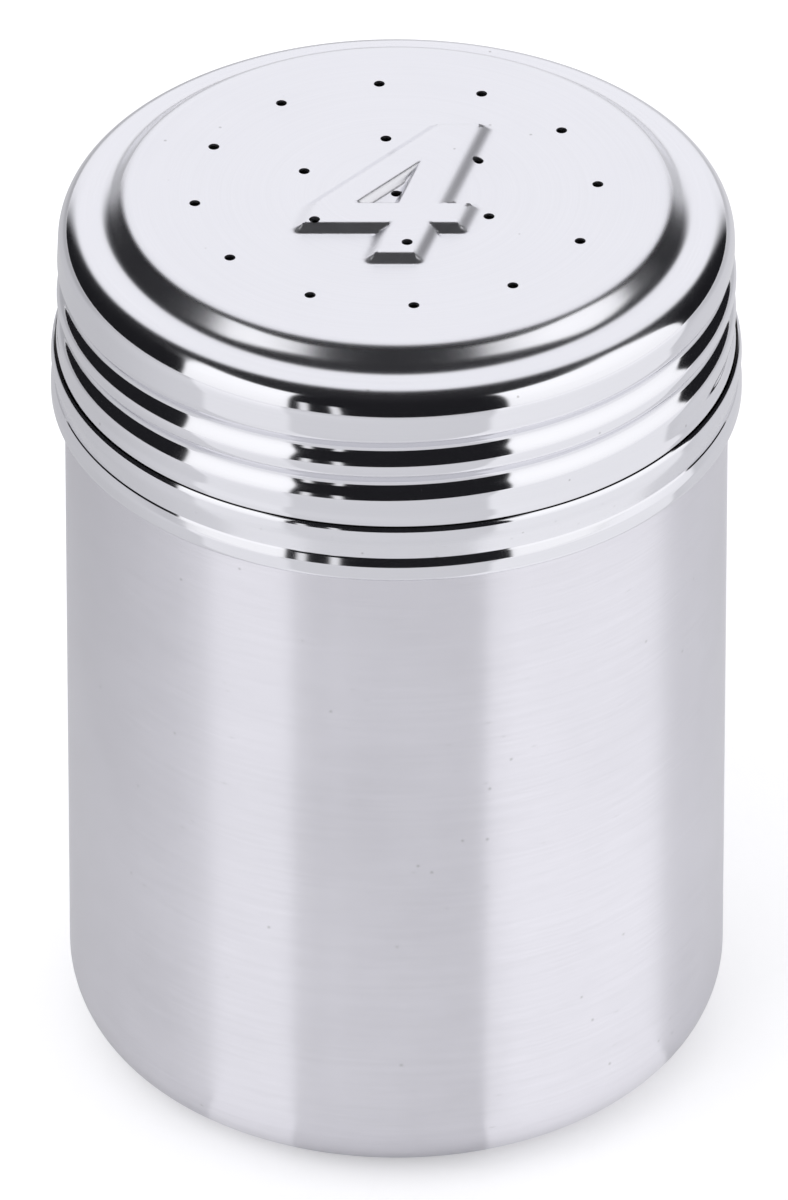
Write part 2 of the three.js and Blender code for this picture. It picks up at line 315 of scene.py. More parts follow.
# two rings of punched holes and one hole in the middle
def perforationTree():
    inputs = {
        "Geometry": "geometry",
        "Hole Radius": 0.0005,
        "Hole Sides": 24,
        "Punch Height": 0.0,
        "Punch Depth": 0.004,
        "Inner Radius": 0.01,
        "Inner Count": 6,
        "Inner Turn": 0.0,
        "Outer Radius": 0.02,
        "Outer Count": 12,
        "Outer Turn": 0.0,
        "Sharp Angle": 0.6,
        "Finish": "material",
    }
    w, given, leave = newTree("punchedHoles", "GeometryNodeTree", inputs, {"Geometry": "geometry"})
    joined = w.node("GeometryNodeJoinGeometry")
    for ring in ("Inner", "Outer"):
        circleInputs = {"Vertices": given[ring + " Count"], "Radius": given[ring + " Radius"]}
        circle = w.node("GeometryNodeMeshCircle", circleInputs).outputs[0]
        rotation = w.join(z=w.less(math.pi / 2, given[ring + " Turn"]))
        turned = w.node("GeometryNodeTransform", {"Geometry": circle, "Rotation": rotation})
        w.feed(joined.inputs[0], turned.outputs[0])
    w.feed(joined.inputs[0], w.node("GeometryNodeMeshLine", {"Count": 1}).outputs[0])
    lift = w.join(z=given["Punch Height"])
    lifted = w.node("GeometryNodeTransform", {"Geometry": joined.outputs[0], "Translation": lift})
    punch = w.node("GeometryNodeMeshCylinder", {
        "Vertices": given["Hole Sides"],
        "Radius": given["Hole Radius"],
        "Depth": given["Punch Depth"],
    })
    punchInputs = {"Points": lifted.outputs[0], "Instance": punch.outputs[0]}
    punches = w.node("GeometryNodeInstanceOnPoints", punchInputs)
    real = w.node("GeometryNodeRealizeInstances", {"Geometry": punches.outputs[0]})
    cutInputs = {"Mesh 1": given["Geometry"], "Mesh 2": real.outputs[0]}
    cut = w.node("GeometryNodeMeshBoolean", cutInputs, operation="DIFFERENCE", solver="MANIFOLD")
    finishTree(w, cut.outputs[0], given, leave)
    return w.tree


turnedSheet = turnedSheetTree()
punchedHoles = perforationTree()
print("geometry node trees built")


def turnedPiece(name, points, finish, thread=None, low=0.0, high=0.0):
    mesh = bpy.data.meshes.new(name)
    edges = [(i, i + 1) for i in range(len(points) - 1)]
    mesh.from_pydata([(p.x * mm, 0, p.y * mm) for p in points], edges, [])
    made = bpy.data.objects.new(name, mesh)
    bpy.context.scene.collection.objects.link(made)
    values = {
        "Segments": sheetSizes["segments"],
        "Sharp Angle": math.radians(sheetSizes["sharpDegrees"]),
        "Finish": finish,
    }
    if thread:
        values |= {
            "Pitch": sheetSizes["threadPitch"] * mm,
            "Fade Turns": sheetSizes["threadFade"],
            "Depth": thread["depth"] * mm,
            "Valley Power": thread["valleyPower"],
            "Middle Height": thread["middleHeight"] * mm,
            "Start Turns": thread["turns"][0],
            "End Turns": thread["turns"][1],
            "Low Height": low * mm,
            "High Height": high * mm,
        }
    return runTree(made, turnedSheet, values)


# fine polishing lines that run round the axis, on walls and on flats
def turnedLinesGroup():
    inputs = {"Place": "vector", "Fineness": 9000.0, "Length": 30.0}
    w, given, leave = newTree("turnedLines", "ShaderNodeTree", inputs, {"Lines": "value"})
    x, y, z = w.split(given["Place"])
    across = w.times(w.less(z, w.length(w.join(x, y))), given["Fineness"])
    spread = w.join(w.times(x, given["Length"]), w.times(y, given["Length"]), across)
    noise = w.node("ShaderNodeTexNoise", {"Vector": spread, "Scale": 1.0, "Detail": 3.0, "Roughness": 0.7})
    w.feed(leave.inputs[0], noise.outputs["Fac"])
    return w.tree


# sparse small pits and specks, 1 in the middle of a speck
def specksGroup():
    inputs = {"Place": "vector", "Scale": 600.0, "Size": 0.12, "Keep": 0.25}
    w, given, leave = newTree("specks", "ShaderNodeTree", inputs, {"Mask": "value"})
    cells = w.node("ShaderNodeTexVoronoi", {"Vector": given["Place"], "Scale": given["Scale"]})
    fall = w.smooth(cells.outputs["Distance"], w.times(given["Size"], 0.4), given["Size"])
    pick = w.node("ShaderNodeSeparateColor", {0: cells.outputs["Color"]}).outputs[0]
    kept = w.math("LESS_THAN", pick, given["Keep"])
    w.feed(leave.inputs[0], w.times(w.less(1, fall), kept))
    return w.tree


# broad, soft unevenness of the polish
def filmGroup():
    inputs = {"Place": "vector", "Scale": 60.0}
    w, given, leave = newTree("film", "ShaderNodeTree", inputs, {"Amount": "value"})
    noiseInputs = {"Vector": given["Place"], "Scale": given["Scale"], "Detail": 5.0, "Roughness": 0.62}
    noise = w.node("ShaderNodeTexNoise", noiseInputs)
    w.feed(leave.inputs[0], w.smooth(noise.outputs["Fac"], 0.3, 0.7))
    return w.tree


turnedLines = turnedLinesGroup()
specks = specksGroup()
film = filmGroup()
print("shader groups built")


def newMaterial(name):
    made = bpy.data.materials.new(name)
    made.use_nodes = True
    made.node_tree.nodes.clear()
    w = Wiring(made.node_tree)
    shader = w.node("ShaderNodeBsdfPrincipled")
    w.node("ShaderNodeOutputMaterial", {"Surface": shader.outputs[0]})
    return made, w, shader, w.node("ShaderNodeTexCoord").outputs["Object"]


def grouped(w, tree, place, values):
    return w.node("ShaderNodeGroup", {"Place": place, **values}, node_tree=tree).outputs[0]


def grainNoise(w, place, scale):
    return w.node("ShaderNodeTexNoise", {"Vector": place, "Scale": scale, "Detail": 2.0}).outputs["Fac"]


def addBump(w, shader, height):
    bump = w.node("ShaderNodeBump", {"Height": height, "Strength": 1.0, "Distance": 1.0})
    w.feed(shader.inputs["Normal"], bump.outputs[0])


# the cup, with satin brushed round it
cupHigh = nodeBox("shaker_cup")[1]
lidLow, lidHigh = nodeBox("screw_lid")
cupSizes = {
    "radius": cupHigh.x,
    "mouthHeight": cupHigh.z,
    "cornerRadius": 8.5,
    "restRingWidth": 4.5,
    "baseRecess": 0.6,
    "baseRecessRun": 2.5,
    "footRounding": 0.8,
    "neckRadius": 32.1,
    "neckFootHeight": lidLow.z + 4.1,
    "neckTurnInRise": 1.4,
    "neckTurnInRadius": 0.7,
    "mouthBeadRadius": 0.65,
    "thread": {"depth": 0.8, "valleyPower": 1.0, "middleHeight": 87.65, "turns": (-1.3, 0.5)},
    "threadSteps": (0.16, 0.3),  # how far apart points stand up the neck, outside and inside
    "satin": {
        "color": (0.842, 0.832, 0.88),
        "roughness": 0.205,
        "cloudRoughness": 0.03,
        "anisotropy": 1.0,
        "anisotropyTurn": 0.25,  # streaks run up and down where the brush lines run round
        "lines": {"Fineness": 6000.0, "Length": 25.0},
        "fineLines": {"Fineness": 16000.0, "Length": 90.0},
        "streaks": {"Fineness": 2000.0, "Length": 110.0},
        "cloud": {"Scale": 45.0},
        "lineRelief": 0.0013,
        "fineLineRelief": 0.0015,
        "tone": 0.92,
        "streakTone": 0.1,
        "lineTone": 0.06,
        "cloudTone": (-0.03, 1.015),
        "dirt": {"Scale": 290.0, "Size": 0.07, "Keep": 1.0},
        "scuffs": {"Scale": 330.0, "Size": 0.1, "Keep": 0.4},
        "scuffStretch": (0.7, 0.7, 2.2),
        "scuffShare": 0.5,
        "dirtShare": 0.4,
        "dirtColor": (0.4, 0.4, 0.4, 1),
    },
}


def satinSteel():
    look = cupSizes["satin"]
    made, w, shader, place = newMaterial("satinSteel")
    lines = grouped(w, turnedLines, place, look["lines"])
    fine = grouped(w, turnedLines, place, look["fineLines"])
    streaks = grouped(w, turnedLines, place, look["streaks"])
    cloudy = grouped(w, film, place, look["cloud"])
    w.feed(shader.inputs["Roughness"], w.slope(cloudy, look["cloudRoughness"], look["roughness"]))
    relief = w.plus(w.times(lines, look["lineRelief"] * mm), w.times(fine, look["fineLineRelief"] * mm))
    addBump(w, shader, relief)
    tone = w.slope(lines, look["lineTone"], w.slope(streaks, look["streakTone"], look["tone"]))
    tone = w.times(tone, w.slope(cloudy, *look["cloudTone"]))
    stretched = w.node("ShaderNodeVectorMath", {0: place, 1: look["scuffStretch"]}, operation="MULTIPLY")
    scuffs = grouped(w, specks, stretched.outputs[0], look["scuffs"])
    dirt = w.math("MAXIMUM", grouped(w, specks, place, look["dirt"]), w.times(scuffs, look["scuffShare"]))
    clean = w.scaled(look["color"], tone)
    w.feed(shader.inputs["Base Color"], w.mix(w.times(dirt, look["dirtShare"]), clean, look["dirtColor"]))
    shader.inputs["Metallic"].default_value = 1.0
    shader.inputs["Anisotropic"].default_value = look["anisotropy"]
    shader.inputs["Anisotropic Rotation"].default_value = look["anisotropyTurn"]
    tangent = w.node("ShaderNodeTangent", direction_type="RADIAL", axis="Z")
    w.feed(shader.inputs["Tangent"], tangent.outputs[0])
    return made


def makeCup():
    s, thickness, bead = cupSizes, sheetSizes["thickness"], cupSizes["mouthBeadRadius"]
    restRadius = s["radius"] - s["cornerRadius"] - s["restRingWidth"]
    neckFoot = s["neckFootHeight"] + s["neckTurnInRise"]
    neckHead = s["mouthHeight"] - bead
    wall = [
        (0, s["baseRecess"], 0),
        (restRadius - s["baseRecessRun"], s["baseRecess"], s["footRounding"]),
        (restRadius, 0, s["footRounding"]),
        (s["radius"], 0, s["cornerRadius"]),
        (s["radius"], s["neckFootHeight"], s["neckTurnInRadius"]),
        (s["neckRadius"], neckFoot, s["neckTurnInRadius"]),
        (s["neckRadius"], neckHead, 0),
    ]
    outside = supported(rounded(wall), neckFoot, neckHead, s["threadSteps"][0])
    inside = supported(rounded(otherSide(wall, thickness)), neckFoot, neckHead, s["threadSteps"][1])
    meets = 360 - math.degrees(math.acos((bead - thickness) / bead))
    lip = arc(Vector((s["neckRadius"] - bead, neckHead)), bead, 0, meets)
    section = outside[:-1] + lip + inside[:-1][::-1]
    return turnedPiece("cup", section, satinSteel(), s["thread"], neckFoot, s["mouthHeight"] - 2 * bead)


# the sealing ring, plain matt off-white
ringLow, ringHigh = nodeBox("sealing_ring")
ringSizes = {
    "outerRadius": ringHigh.x,
    "width": 2.0,
    "bottomHeight": ringLow.z,
    "topHeight": ringHigh.z,
    "rounding": 0.25,
    "plastic": {
        "color": (0.83, 0.82, 0.79),
        "roughness": 0.5,
        "cloud": {"Scale": 220.0},
        "cloudTone": (-0.06, 1.0),
        "cloudRoughness": 0.12,
        "grainScale": 3000.0,
        "grainRelief": 0.006,
    },
}


def sealPlastic():
    look = ringSizes["plastic"]
    made, w, shader, place = newMaterial("sealPlastic")
    cloudy = grouped(w, film, place, look["cloud"])
    w.feed(shader.inputs["Base Color"], w.scaled(look["color"], w.slope(cloudy, *look["cloudTone"])))
    w.feed(shader.inputs["Roughness"], w.slope(cloudy, look["cloudRoughness"], look["roughness"]))
    addBump(w, shader, w.times(grainNoise(w, place, look["grainScale"]), look["grainRelief"] * mm))
    return made


def makeRing():
    s = ringSizes
    outer, inner = s["outerRadius"], s["outerRadius"] - s["width"]
    middle = (inner + outer) / 2
    corners = [
        (middle, s["bottomHeight"], 0),
        (outer, s["bottomHeight"], s["rounding"]),
        (outer, s["topHeight"], s["rounding"]),
        (inner, s["topHeight"], s["rounding"]),
        (inner, s["bottomHeight"], s["rounding"]),
        (middle, s["bottomHeight"], 0),
    ]
    return turnedPiece("seal", supported(rounded(corners)), sealPlastic())


# the lid: a turned sheet outside a seam, a pressed and punched plate inside it
lidSizes = {
    "plateauHeight": lidHigh.z - 0.9,
    "plateauRadius": 26.95,
    "seamRadius": 25.9,  # the punched plate is welded to the turned sheet here
    "stepDrop": 2.15,
    "stepRun": 2.2,
    "stepEdgeRadius": 1.9,
    "stepFootRadius": 3.0,
    "skirtRadius": 33.4,
    "shoulderRadius": 3.0,
    "ribRadius": 33.7,
    "ribTopHeight": 88.5,
    "ribTopRounding": 12.0,
    "ribBottomHeight": 82.0,
    "ribBottomRounding": 1.5,
    "thread": {
        "depth": -0.93,
        "valleyPower": 1.5,  # above 1 the groove's bottom is tighter than the ribs beside it
        "middleHeight": 85.35,
        "turns": (-0.87, 1.5),
    },
    "threadSteps": (0.13, 0.6),  # how far apart points stand up the skirt, outside and inside
    "threadReach": 2.2,  # they stand so to this far below the ribs
    "rim": {  # the sheet's edge, folded up outside
        "radius": lidHigh.x,
        "innerRadius": lidHigh.x - 1.0,
        "innerRounding": 0.35,
        "topHeight": lidLow.z + 6.35,
        "bottomHeight": lidLow.z,
        "wallFoot": (0.5, 0.8),  # the skirt ends this far above the fold, with this rounding
        "foldRounding": 0.65,
        "foldRun": 0.3,  # the fold's upper edge starts with a bevel
        "foldDrop": 0.27,
        "creviceDepth": 0.3,
        "creviceWidth": 0.1,
        "bandDip": 0.14,  # how far the band's upper end lies inside its middle
        "bandMiddle": (1.5, 3.0),  # its middle is this far below the fold, with this rounding
        "creaseHeight": 77.25,
        "creaseDepth": 0.41,
        "creaseLip": (0.12, 0.17),  # its steep upper part, inwards and down
        "creaseRise": 0.97,
        "creaseRounding": 0.1,
        "beadTopRounding": 0.7,
        "beadRounding": 0.7,
        "innerEnd": 0.3,  # the fold ends inside this far above its upper edge
    },
    "numeral": {
        "height": 23.3,
        "width": 15.6,
        "stroke": 3.6,
        "stemWidth": 4.2,
        "stemInset": 2.8,
        "barFoot": 5.4,
        "topWidth": 4.6,
        "relief": 0.85,
        "shift": (-3.1, -0.2),
        "slant": 16.0,
        "cornerRounding": 0.35,  # the wall's middle lies this far outside the outline
        "wallRun": 1.2,  # how far a wall that faces the front or back spreads
        "sideRun": 2.4,  # the same for a wall that faces sideways
        "counterRun": 0.95,  # the same for the counter's walls
        "underShift": 0.3,  # the sheet's underside has its walls this far inside
        "fineStep": 0.18,
        "fineReach": (6.0, 2.0),  # fine points stop this far beside and above the numeral
        "wallMargins": (0.1, 0.3),  # they reach this far past a wall, front and sideways
        "coarseStep": 2.2,
        "coarseShift": (0.31, 0.17),
        "coarseMargins": (0.5, 1.2),  # coarse points keep this far from the walls and the seam
        "seamRing": 0.5,
    },
    "holes": {
        "radius": 0.55,
        "sides": 28,
        "punchDepth": 4.0,
        "innerRadius": 10.0,
        "innerCount": 6,
        "innerTurn": -6.0,  # degrees, clockwise seen from above
        "outerRadius": 20.0,
        "outerCount": 12,
        "outerTurn": -4.9,
    },
    "polish": {
        "color": (0.83, 0.83, 0.865),
        "skirtRoughness": 0.065,
        "ledgeRoughness": 0.2,  # on the step and the flat ring round it
        "plateauRoughness": 0.285,
        "bandRoughness": 0.14,  # added on the folded rim
        "ledgeHeights": (94.6, 95.5),  # the skirt's mirror polish grows softer between these
        "plateauHeights": (97.35, 97.65),
        "bandFootHeights": (77.2, 77.7),
        "bandHeadHeights": (79.5, 80.0),
        "lines": {"Fineness": 7000.0, "Length": 40.0},
        "cloud": {"Scale": 90.0},
        "cloudRoughness": (0.03, 0.01),  # in such a pair, what the top adds to what the skirt has
        "lineRelief": (0.00045, 0.00005),
        "lineTone": (0.03, 0.05),
        "tone": (-0.015, 0.975),
        "grainScale": 2600.0,
        "grainRelief": 0.004,  # on the folded rim
        "dirt": {"Scale": 260.0, "Size": 0.055, "Keep": 0.5},
        "pits": {"Scale": 900.0, "Size": 0.16, "Keep": 0.35},  # on the folded rim
        "pitShare": 0.35,
        "dirtShare": 0.5,
        "dirtColor": (0.35, 0.34, 0.34, 1),
        "creviceShadeColor": (0.015, 0.014, 0.014, 1),  # painted shade: the crevice of the fold is coloured near black
        "creviceShadeInside": (0.03, 0.01),  # the painted shade fades out over these distances from its edges
        "creviceShadeOutside": (0.05, 0.01),
        "creviceShadeAbove": (0.15, 0.02),
        "creviceShadeBelow": 0.1,
    },
}


# mirror polish on the threaded skirt, a softer buffed polish on top, grain on the folded rim, painted shade
# in the fold's crevice
def polishedSteel():
    look, rim = lidSizes["polish"], lidSizes["rim"]
    made, w, shader, place = newMaterial("polishedSteel")
    x, y, height = w.split(place)

    def above(heights):
        return w.smooth(height, heights[0] * mm, heights[1] * mm)

    onTop = above(look["ledgeHeights"])
    rimBand = w.times(above(look["bandFootHeights"]), w.less(1, above(look["bandHeadHeights"])))
    lines = grouped(w, turnedLines, place, look["lines"])
    cloudy = grouped(w, film, place, look["cloud"])
    rough = w.slope(onTop, look["ledgeRoughness"] - look["skirtRoughness"], look["skirtRoughness"])
    softer = look["plateauRoughness"] - look["ledgeRoughness"]
    rough = w.slope(above(look["plateauHeights"]), softer, rough)
    rough = w.plus(rough, w.times(rimBand, look["bandRoughness"]))
    rough = w.plus(rough, w.times(cloudy, w.slope(onTop, *look["cloudRoughness"])))
    w.feed(shader.inputs["Roughness"], rough)
    relief = w.times(lines, w.slope(onTop, *[value * mm for value in look["lineRelief"]]))
    grain = w.times(grainNoise(w, place, look["grainScale"]), rimBand, look["grainRelief"] * mm)
    addBump(w, shader, w.plus(relief, grain))
    pits = w.times(grouped(w, specks, place, look["pits"]), rimBand, look["pitShare"])
    dirt = w.math("MAXIMUM", grouped(w, specks, place, look["dirt"]), pits)
    tone = w.slope(lines, w.slope(onTop, *look["lineTone"]), w.slope(onTop, *look["tone"]))
    clean = w.scaled(look["color"], tone)
    stained = w.mix(w.times(dirt, look["dirtShare"]), clean, look["dirtColor"])
    radius = w.length(w.join(x, y))
    outer, inner = rimCorners()[3][0], rimCorners()[1][0]
    head, foot = rim["topHeight"], rim["topHeight"] - rim["creviceDepth"]
    # painted shade: the fold's crevice is coloured near black, where its gap is in shadow
    creviceShade = w.times(
        w.smooth(radius, *[(inner - gap) * mm for gap in look["creviceShadeInside"]]),
        w.smooth(radius, *[(outer + gap) * mm for gap in look["creviceShadeOutside"]]),
        w.smooth(height, *[(head + gap) * mm for gap in look["creviceShadeAbove"]]),
        w.math("GREATER_THAN", height, (foot - look["creviceShadeBelow"]) * mm),
    )
    w.feed(shader.inputs["Base Color"], w.mix(creviceShade, stained, look["creviceShadeColor"]))
    shader.inputs["Metallic"].default_value = 1.0
    return made


def rimCorners():
    s = lidSizes["rim"]
    radius, top, bottom = s["radius"], s["topHeight"], s["bottomHeight"]
    bandRadius = radius - s["bandDip"]
    gapRadius = bandRadius - s["foldRun"]
    wallRadius = gapRadius - s["creviceWidth"]
    creaseRadius, lip = radius - s["creaseDepth"], s["creaseLip"]
    return [
        (wallRadius, top + s["wallFoot"][0], s["wallFoot"][1]),
        (wallRadius, top - s["creviceDepth"], 0),
        (gapRadius, top - s["creviceDepth"], 0),
        (gapRadius, top, 0),
        (bandRadius, top - s["foldDrop"], s["foldRounding"]),
        (radius, top - s["bandMiddle"][0], s["bandMiddle"][1]),
        (creaseRadius, s["creaseHeight"], s["creaseRounding"]),
        (creaseRadius + lip[0], s["creaseHeight"] - lip[1], s["creaseRounding"]),
        (radius, s["creaseHeight"] - s["creaseRise"], s["beadTopRounding"]),
        (radius, bottom, s["beadRounding"]),
        (s["innerRadius"], bottom, s["innerRounding"]),
        (s["innerRadius"], top + s["innerEnd"], 0),
    ]


def lidSection():
    s = lidSizes
    ledgeHeight = s["plateauHeight"] - s["stepDrop"]
    corners = [
        (s["seamRadius"], s["plateauHeight"], 0),
        (s["plateauRadius"], s["plateauHeight"], s["stepEdgeRadius"]),
        (s["plateauRadius"] + s["stepRun"], ledgeHeight, s["stepFootRadius"]),
        (s["skirtRadius"], ledgeHeight, s["shoulderRadius"]),
        (s["ribRadius"], s["ribTopHeight"], s["ribTopRounding"]),
        (s["ribRadius"], s["ribBottomHeight"], s["ribBottomRounding"]),
    ]
    low, high = s["ribBottomHeight"] - s["threadReach"], ledgeHeight - s["shoulderRadius"]
    inner = otherSide(corners, -sheetSizes["thickness"])
    outside = supported(rounded(corners + rimCorners()), low, high, s["threadSteps"][0])
    inside = supported(rounded(inner), low, high, s["threadSteps"][1])
    return (outside + inside[::-1])[::-1], high


# the numeral's outline and its closed counter, slanted and placed, anticlockwise
def numeralOutline():
    s = lidSizes["numeral"]
    stemRight = s["width"] - s["stemInset"]
    stemLeft = stemRight - s["stemWidth"]
    barHead = s["barFoot"] + s["stroke"]
    outline = [
        (stemLeft, 0),
        (stemRight, 0),
        (stemRight, s["barFoot"]),
        (s["width"], s["barFoot"]),
        (s["width"], barHead),
        (stemRight, barHead),
        (stemRight, s["height"]),
        (stemRight - s["topWidth"], s["height"]),
        (0, barHead),
        (0, s["barFoot"]),
        (stemLeft, s["barFoot"]),
    ]
    run, climb = stemRight - s["topWidth"], s["height"] - barHead
    footX = s["stroke"] * math.hypot(run, climb) / climb
    counterHead = barHead + (stemLeft - footX) * climb / run
    counter = [(footX, barHead), (stemLeft, barHead), (stemLeft, counterHead)]
    lean = math.tan(math.radians(s["slant"]))
    left, foot = s["shift"][0] - s["width"] / 2, s["shift"][1] - s["height"] / 2
    return [[Vector((x + lean * y + left, y + foot)) for x, y in path] for path in (outline, counter)]


# distance to the outlines, negative in the strokes, the way there, and if it is the counter's
def outlineDistance(point, paths):
    best, way, crossings, inCounter = 1e9, Vector((0, 0)), 0, False
    for path in paths:
        for a, b in zip(path, path[1:] + path[:1]):
            run = b - a
            share = min(max((point - a).dot(run) / run.length_squared, 0), 1)
            gap = point - (a + run * share)
            if gap.length < best:
                best, way, inCounter = gap.length, gap, path is paths[1]
            if (a.y > point.y) != (b.y > point.y) and point.x < a.x + run.x * (point.y - a.y) / run.y:
                crossings += 1
    inside = crossings % 2 == 1
    return (-best if inside else best), (-way if inside else way), inCounter


# how high the pressed sheet stands: walls that face sideways are softer than the others
def reliefHeight(distance, way, inCounter, shift=0.0):
    s = lidSizes["numeral"]
    sideways = way.normalized().x ** 2 if way.length > 1e-6 else 0
    run = s["counterRun"] if inCounter else s["wallRun"] + (s["sideRun"] - s["wallRun"]) * sideways
    fall = min(max((distance - s["cornerRounding"] + shift) / run + 0.5, 0), 1)
    return s["relief"] * (1 - fall * fall * (3 - 2 * fall))


# points of the plate: close together along the numeral's walls, wide apart elsewhere
def platePoints(paths):
    s, seam = lidSizes["numeral"], lidSizes["seamRadius"]

    def offWall(x, y):
        return abs(outlineDistance(Vector((x, y)), paths)[0] - s["cornerRounding"])

    points = []
    step, rowShare = s["fineStep"], 0.866  # rows of even triangles
    frontReach = s["wallRun"] / 2 + s["wallMargins"][0]
    sideReach = s["sideRun"] / 2 + s["wallMargins"][1]
    for j in range(int(2 * seam / (step * rowShare)) + 1):
        y = -seam + j * step * rowShare
        if abs(y - s["shift"][1]) > s["height"] / 2 + s["fineReach"][1]:
            continue
        for i in range(int(2 * seam / step) + 1):
            x = -seam + (i + 0.5 * (j % 2)) * step
            if abs(x - s["shift"][0]) > s["width"] / 2 + s["fineReach"][0]:
                continue
            off = offWall(x, y)
            if off < frontReach or (off < sideReach and (i + 2 * (j % 2)) % 3 == 0):
                points.append((x, y))
    fromWall, fromSeam = s["coarseMargins"]
    count = int(2 * seam / s["coarseStep"]) + 1
    for j in range(count):
        for i in range(count):
            x = -seam + i * s["coarseStep"] + s["coarseShift"][0]
            y = -seam + j * s["coarseStep"] + s["coarseShift"][1]
            if math.hypot(x, y) <= seam - fromSeam and offWall(x, y) > sideReach + fromWall:
                points.append((x, y))
    ringCount = sheetSizes["segments"]
    for radius in (seam, seam - s["seamRing"]):
        for i in range(ringCount):
            angle = 2 * math.pi * i / ringCount
            points.append((radius * math.sin(angle), radius * math.cos(angle)))
    return points, ringCount


# the plateau inside the seam: a sheet of even thickness with the numeral pressed up into it
def pressedPlate():
    paths = numeralOutline()
    points, ringCount = platePoints(paths)
    seamStart = len(points) - 2 * ringCount
    edges = [(seamStart + i, seamStart + (i + 1) % ringCount) for i in range(ringCount)]
    flat, _, faces, *_ = delaunay_2d_cdt([Vector(p) for p in points], edges, [], 1, 1e-5)
    height, thickness = lidSizes["plateauHeight"], sheetSizes["thickness"]
    top, under = [], []
    for p in flat:
        found = outlineDistance(p, paths)
        pressed = reliefHeight(*found, lidSizes["numeral"]["underShift"])
        top.append((p.x * mm, p.y * mm, (height + reliefHeight(*found)) * mm))
        under.append((p.x * mm, p.y * mm, (height - thickness + pressed) * mm))
    upper = [tuple(f) for f in faces]
    lower = [tuple(v + len(top) for v in reversed(f)) for f in faces]
    mesh = bpy.data.meshes.new("plate")
    mesh.from_pydata(top + under, [], upper + lower)
    return mesh


def makeLid():
    finish, holes = polishedSteel(), lidSizes["holes"]
    section, threadHead = lidSection()
    threadFoot = lidSizes["rim"]["topHeight"]
    made = turnedPiece("lid", section, finish, lidSizes["thread"], threadFoot, threadHead)
    plate = pressedPlate()
    whole = bmesh.new()
    whole.from_mesh(made.data)
    whole.from_mesh(plate)
    bmesh.ops.remove_doubles(whole, verts=whole.verts, dist=0.003 * mm)
    bmesh.ops.recalc_face_normals(whole, faces=whole.faces)
    openEdges = sum(1 for e in whole.edges if len(e.link_faces) != 2)
    whole.to_mesh(made.data)
    whole.free()
    bpy.data.meshes.remove(plate)
    print("lid: open edges before punching", openEdges)
    values = {
        "Hole Radius": holes["radius"] * mm,
        "Hole Sides": holes["sides"],
        "Punch Height": lidSizes["plateauHeight"] * mm,
        "Punch Depth": holes["punchDepth"] * mm,
        "Sharp Angle": math.radians(sheetSizes["sharpDegrees"]),
        "Finish": finish,
    }
    for ring in ("inner", "outer"):
        values[ring.title() + " Radius"] = holes[ring + "Radius"] * mm
        values[ring.title() + " Count"] = holes[ring + "Count"]
        values[ring.title() + " Turn"] = math.radians(holes[ring + "Turn"])
    return runTree(made, punchedHoles, values)


# turns a closed mesh whose faces point inwards
def pointOutwards(made):
    check = bmesh.new()
    check.from_mesh(made.data)
    volume = check.calc_volume(signed=True)
    openEdges = sum(1 for e in check.edges if len(e.link_faces) != 2)
    check.free()
    if volume < 0:
        made.data.flip_normals()
    triangles = sum(len(p.vertices) - 2 for p in made.data.polygons)
    print(f"{made.name}: {abs(volume) * 1e6:.2f} cm3, {openEdges} open edges, {triangles} triangles")


for make, body, node, slot in (
    (makeCup, "cup", "shaker_cup", "satin_steel"),
    (makeRing, "seal", "sealing_ring", "seal_plastic"),
    (makeLid, "lid", "screw_lid", "polished_steel"),
):
    piece = make()
    pointOutwards(piece)
    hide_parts(node)
    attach(piece, body)
    print("piece made:", piece.name)


